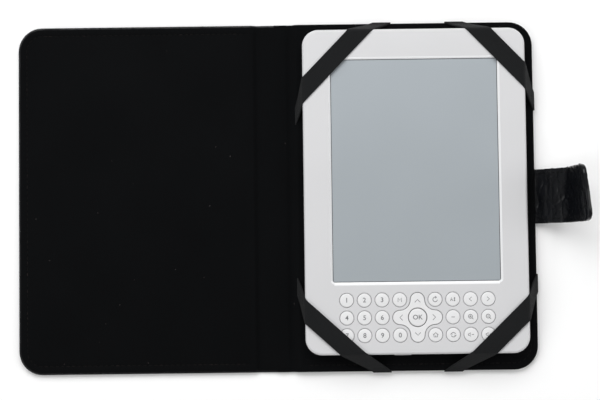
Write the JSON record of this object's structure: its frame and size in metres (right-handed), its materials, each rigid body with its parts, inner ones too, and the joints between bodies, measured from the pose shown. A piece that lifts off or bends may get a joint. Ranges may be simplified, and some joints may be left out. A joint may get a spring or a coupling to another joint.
{
  "type": "personal digital assistant",
  "caption": "Handheld e-paper reader with a keypad below its screen, held by elastic corner bands in an open folio case with a closure strap.",
  "frame": {"origin": "on the underside, below the middle of the whole object's box, with the case open and flat", "axes": "+X from the front cover to the closure strap, +Y up the reader's page, +Z out of its screen"},
  "size_m": [0.305, 0.1938, 0.0448],
  "materials": {
    "case_leather": "glossy black leather with an embossed reptile grain",
    "strap_lining": "glossy black leather with an embossed reptile grain",
    "suede_lining": "matt black short-nap microfibre",
    "elastic": "dark grey woven elastic band",
    "card_board": "plain pressed greyboard",
    "magnet_metal": "plated magnet",
    "white_plastic": "white moulded plastic with a fine satin texture",
    "key_plastic": "white moulded plastic, satin, with grey printed signs",
    "e_paper": "matt grey-green electronic paper",
    "frame_metal": "stamped sheet",
    "flex_cable": "amber polyimide film",
    "circuit_board": "green solder mask with black chips",
    "battery_foil": "silver foil pouch",
    "socket_metal": "tinned steel",
    "jack_plastic": "black moulded plastic",
    "screw_steel": "zinc-plated steel",
    "key_rubber": "translucent white silicone"
  },
  "bodies": {
    "back_cover": {"back_cover_leather": "case_leather", "back_board": "card_board", "back_lining": "suede_lining", "strap_anchor_tab": "case_leather", "elastic_top_left": "elastic", "elastic_top_right": "elastic", "elastic_bottom_left": "elastic", "elastic_bottom_right": "elastic", "rear_shell": "white_plastic", "front_bezel": "white_plastic", "mid_frame": "frame_metal", "display_panel": "e_paper", "display_cable": "flex_cable", "main_board": "circuit_board", "battery": "battery_foil", "usb_socket": "socket_metal", "headphone_jack": "jack_plastic", "card_socket": "socket_metal", "shell_screws": "screw_steel", "key_board": "circuit_board", "key_membrane": "key_rubber"},
    "spine": {"spine_leather": "case_leather", "spine_stiffener": "card_board", "spine_lining": "suede_lining"},
    "front_cover": {"front_cover_leather": "case_leather", "front_board": "card_board", "front_lining": "suede_lining", "cover_magnet": "magnet_metal"},
    "strap_riser": {"strap_riser_leather": "case_leather", "strap_riser_lining": "strap_lining"},
    "strap_flap": {"strap_flap_leather": "case_leather", "strap_flap_lining": "strap_lining", "strap_magnet": "magnet_metal"},
    "power_button": {"power_button": "white_plastic"},
    "nav_cushion": {"nav_cushion": "key_rubber"},
    "nav_pad": {"nav_pad": "key_plastic"},
    "ok_key": {"ok_key": "key_plastic"},
    "key_1": {"key_1": "key_plastic"},
    "key_2": {"key_2": "key_plastic"},
    "key_3": {"key_3": "key_plastic"},
    "key_menu": {"key_menu": "key_plastic"},
    "key_refresh": {"key_refresh": "key_plastic"},
    "key_font": {"key_font": "key_plastic"},
    "key_previous": {"key_previous": "key_plastic"},
    "key_next": {"key_next": "key_plastic"},
    "key_4": {"key_4": "key_plastic"},
    "key_5": {"key_5": "key_plastic"},
    "key_6": {"key_6": "key_plastic"},
    "key_dash": {"key_dash": "key_plastic"},
    "key_zoom_in": {"key_zoom_in": "key_plastic"},
    "key_zoom_out": {"key_zoom_out": "key_plastic"},
    "key_7": {"key_7": "key_plastic"},
    "key_8": {"key_8": "key_plastic"},
    "key_9": {"key_9": "key_plastic"},
    "key_0": {"key_0": "key_plastic"},
    "key_home": {"key_home": "key_plastic"},
    "key_rotate": {"key_rotate": "key_plastic"},
    "key_volume_down": {"key_volume_down": "key_plastic"},
    "key_volume_up": {"key_volume_up": "key_plastic"}
  },
  "joints": [
    {"name": "spine_fold", "type": "hinge", "parent": "back_cover", "child": "spine", "pos_m": [-0.0015, 0, 0.0005], "axis": [0, 1, 0], "range_deg": [-90, 90]},
    {"name": "cover_fold", "type": "hinge", "parent": "spine", "child": "front_cover", "pos_m": [-0.0195, 0, 0.0005], "axis": [0, 1, 0], "range_deg": [-90, 90]},
    {"name": "strap_lift", "type": "hinge", "parent": "back_cover", "child": "strap_riser", "pos_m": [0.134, -0.001, 0.0015], "axis": [0, -1, 0], "range_deg": [-40, 50], "stiffness_Nm_per_rad": 0.06},
    {"name": "strap_fold", "type": "hinge", "parent": "strap_riser", "child": "strap_flap", "pos_m": [0.14871, -0.001, 0.01384], "axis": [0, -1, 0], "range_deg": [-45, 45], "stiffness_Nm_per_rad": 0.06},
    {"name": "power_press", "type": "slide", "parent": "back_cover", "child": "power_button", "axis": [0, 1, 0], "range_m": [0, 0.0005], "stiffness_N_per_m": 800},
    {"name": "nav_sideways", "type": "hinge", "parent": "back_cover", "child": "nav_cushion", "pos_m": [0.066, -0.0665, 0.0116], "axis": [0, 1, 0], "range_deg": [-1.5, 1.5], "stiffness_Nm_per_rad": 0.3},
    {"name": "nav_up_down", "type": "hinge", "parent": "nav_cushion", "child": "nav_pad", "pos_m": [0.066, -0.0665, 0.0116], "axis": [1, 0, 0], "range_deg": [-1.5, 1.5], "stiffness_Nm_per_rad": 0.3},
    {"name": "ok_press", "type": "slide", "parent": "back_cover", "child": "ok_key", "axis": [0, 0, -1], "range_m": [0, 0.0004], "stiffness_N_per_m": 800},
    {"name": "key_1_press", "type": "slide", "parent": "back_cover", "child": "key_1", "axis": [0, 0, -1], "range_m": [0, 0.0004], "stiffness_N_per_m": 800},
    {"name": "key_2_press", "type": "slide", "parent": "back_cover", "child": "key_2", "axis": [0, 0, -1], "range_m": [0, 0.0004], "stiffness_N_per_m": 800},
    {"name": "key_3_press", "type": "slide", "parent": "back_cover", "child": "key_3", "axis": [0, 0, -1], "range_m": [0, 0.0004], "stiffness_N_per_m": 800},
    {"name": "key_menu_press", "type": "slide", "parent": "back_cover", "child": "key_menu", "axis": [0, 0, -1], "range_m": [0, 0.0004], "stiffness_N_per_m": 800},
    {"name": "key_refresh_press", "type": "slide", "parent": "back_cover", "child": "key_refresh", "axis": [0, 0, -1], "range_m": [0, 0.0004], "stiffness_N_per_m": 800},
    {"name": "key_font_press", "type": "slide", "parent": "back_cover", "child": "key_font", "axis": [0, 0, -1], "range_m": [0, 0.0004], "stiffness_N_per_m": 800},
    {"name": "key_previous_press", "type": "slide", "parent": "back_cover", "child": "key_previous", "axis": [0, 0, -1], "range_m": [0, 0.0004], "stiffness_N_per_m": 800},
    {"name": "key_next_press", "type": "slide", "parent": "back_cover", "child": "key_next", "axis": [0, 0, -1], "range_m": [0, 0.0004], "stiffness_N_per_m": 800},
    {"name": "key_4_press", "type": "slide", "parent": "back_cover", "child": "key_4", "axis": [0, 0, -1], "range_m": [0, 0.0004], "stiffness_N_per_m": 800},
    {"name": "key_5_press", "type": "slide", "parent": "back_cover", "child": "key_5", "axis": [0, 0, -1], "range_m": [0, 0.0004], "stiffness_N_per_m": 800},
    {"name": "key_6_press", "type": "slide", "parent": "back_cover", "child": "key_6", "axis": [0, 0, -1], "range_m": [0, 0.0004], "stiffness_N_per_m": 800},
    {"name": "key_dash_press", "type": "slide", "parent": "back_cover", "child": "key_dash", "axis": [0, 0, -1], "range_m": [0, 0.0004], "stiffness_N_per_m": 800},
    {"name": "key_zoom_in_press", "type": "slide", "parent": "back_cover", "child": "key_zoom_in", "axis": [0, 0, -1], "range_m": [0, 0.0004], "stiffness_N_per_m": 800},
    {"name": "key_zoom_out_press", "type": "slide", "parent": "back_cover", "child": "key_zoom_out", "axis": [0, 0, -1], "range_m": [0, 0.0004], "stiffness_N_per_m": 800},
    {"name": "key_7_press", "type": "slide", "parent": "back_cover", "child": "key_7", "axis": [0, 0, -1], "range_m": [0, 0.0004], "stiffness_N_per_m": 800},
    {"name": "key_8_press", "type": "slide", "parent": "back_cover", "child": "key_8", "axis": [0, 0, -1], "range_m": [0, 0.0004], "stiffness_N_per_m": 800},
    {"name": "key_9_press", "type": "slide", "parent": "back_cover", "child": "key_9", "axis": [0, 0, -1], "range_m": [0, 0.0004], "stiffness_N_per_m": 800},
    {"name": "key_0_press", "type": "slide", "parent": "back_cover", "child": "key_0", "axis": [0, 0, -1], "range_m": [0, 0.0004], "stiffness_N_per_m": 800},
    {"name": "key_home_press", "type": "slide", "parent": "back_cover", "child": "key_home", "axis": [0, 0, -1], "range_m": [0, 0.0004], "stiffness_N_per_m": 800},
    {"name": "key_rotate_press", "type": "slide", "parent": "back_cover", "child": "key_rotate", "axis": [0, 0, -1], "range_m": [0, 0.0004], "stiffness_N_per_m": 800},
    {"name": "key_volume_down_press", "type": "slide", "parent": "back_cover", "child": "key_volume_down", "axis": [0, 0, -1], "range_m": [0, 0.0004], "stiffness_N_per_m": 800},
    {"name": "key_volume_up_press", "type": "slide", "parent": "back_cover", "child": "key_volume_up", "axis": [0, 0, -1], "range_m": [0, 0.0004], "stiffness_N_per_m": 800}
  ]
}
